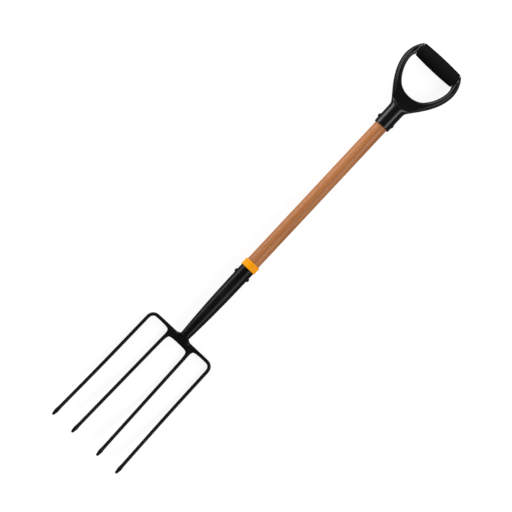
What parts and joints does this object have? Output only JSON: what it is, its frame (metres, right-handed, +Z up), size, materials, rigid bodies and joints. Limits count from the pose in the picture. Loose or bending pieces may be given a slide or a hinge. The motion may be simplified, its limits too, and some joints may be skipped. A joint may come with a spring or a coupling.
{
  "type": "d-handle garden fork",
  "caption": "D-handle digging fork: a forged head with slim tines, tapered ferrule, ash shaft with a coloured collar, and a moulded D grip with a soft sleeve.",
  "frame": {"origin": "on the floor under the middle of the fork's length, with the fork lying on its back", "axes": "+X along the handle from the tines to the grip, +Y across the head, +Z up, out of the front of the fork"},
  "size_m": [1.0679, 0.1826, 0.036],
  "materials": {
    "head_steel": "satin black paint on forged steel",
    "ferrule_steel": "satin black paint on steel tube",
    "rivet_steel": "black coated steel",
    "collar_plastic": "moulded yellow plastic, soft gloss",
    "shaft_wood": "stained and varnished ash, lengthwise grain",
    "grip_plastic": "satin black moulded plastic",
    "sleeve_rubber": "matt soft-touch rubber with a fine texture"
  },
  "bodies": {
    "root": {"fork_head": "head_steel", "ferrule": "ferrule_steel", "ferrule_rivet": "rivet_steel", "collar": "collar_plastic", "handle_shaft": "shaft_wood", "d_grip": "grip_plastic", "grip_sleeve": "sleeve_rubber", "grip_rivet": "rivet_steel"}
  },
  "joints": []
}
